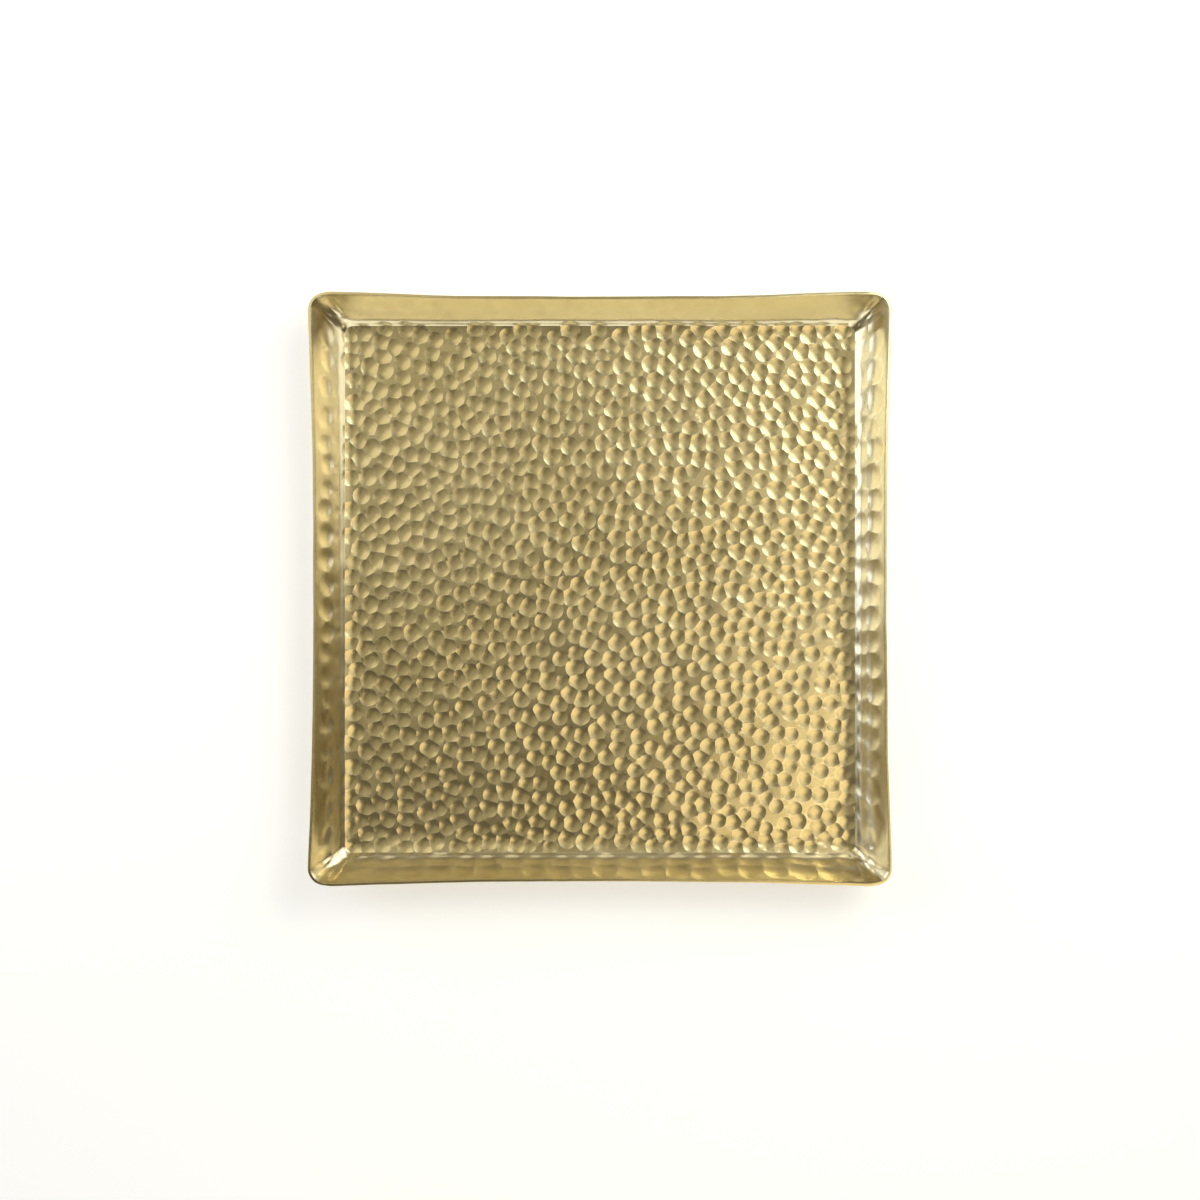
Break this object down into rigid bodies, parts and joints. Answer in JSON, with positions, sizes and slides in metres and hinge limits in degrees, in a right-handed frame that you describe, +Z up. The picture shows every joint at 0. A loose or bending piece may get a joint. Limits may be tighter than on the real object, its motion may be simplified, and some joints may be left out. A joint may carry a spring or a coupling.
{
  "type": "hammered brass tray",
  "caption": "Nearly square hand-hammered brass serving tray: flat dimpled floor, low outward-leaning walls and softly flared corners, on stick-on rubber bumpers.",
  "frame": {"origin": "middle of the tray's footprint, on the surface that its bumpers stand on", "axes": "+X along the shorter side, +Y along the longer side towards the back wall, +Z up out of the tray"},
  "size_m": [0.3022, 0.3072, 0.023],
  "materials": {
    "brass": "satin, hand-hammered",
    "bumper_rubber": "matt moulded"
  },
  "bodies": {
    "root": {"tray_pan": "brass", "bumper_front_left": "bumper_rubber", "bumper_front_right": "bumper_rubber", "bumper_back_left": "bumper_rubber", "bumper_back_right": "bumper_rubber"}
  },
  "joints": []
}
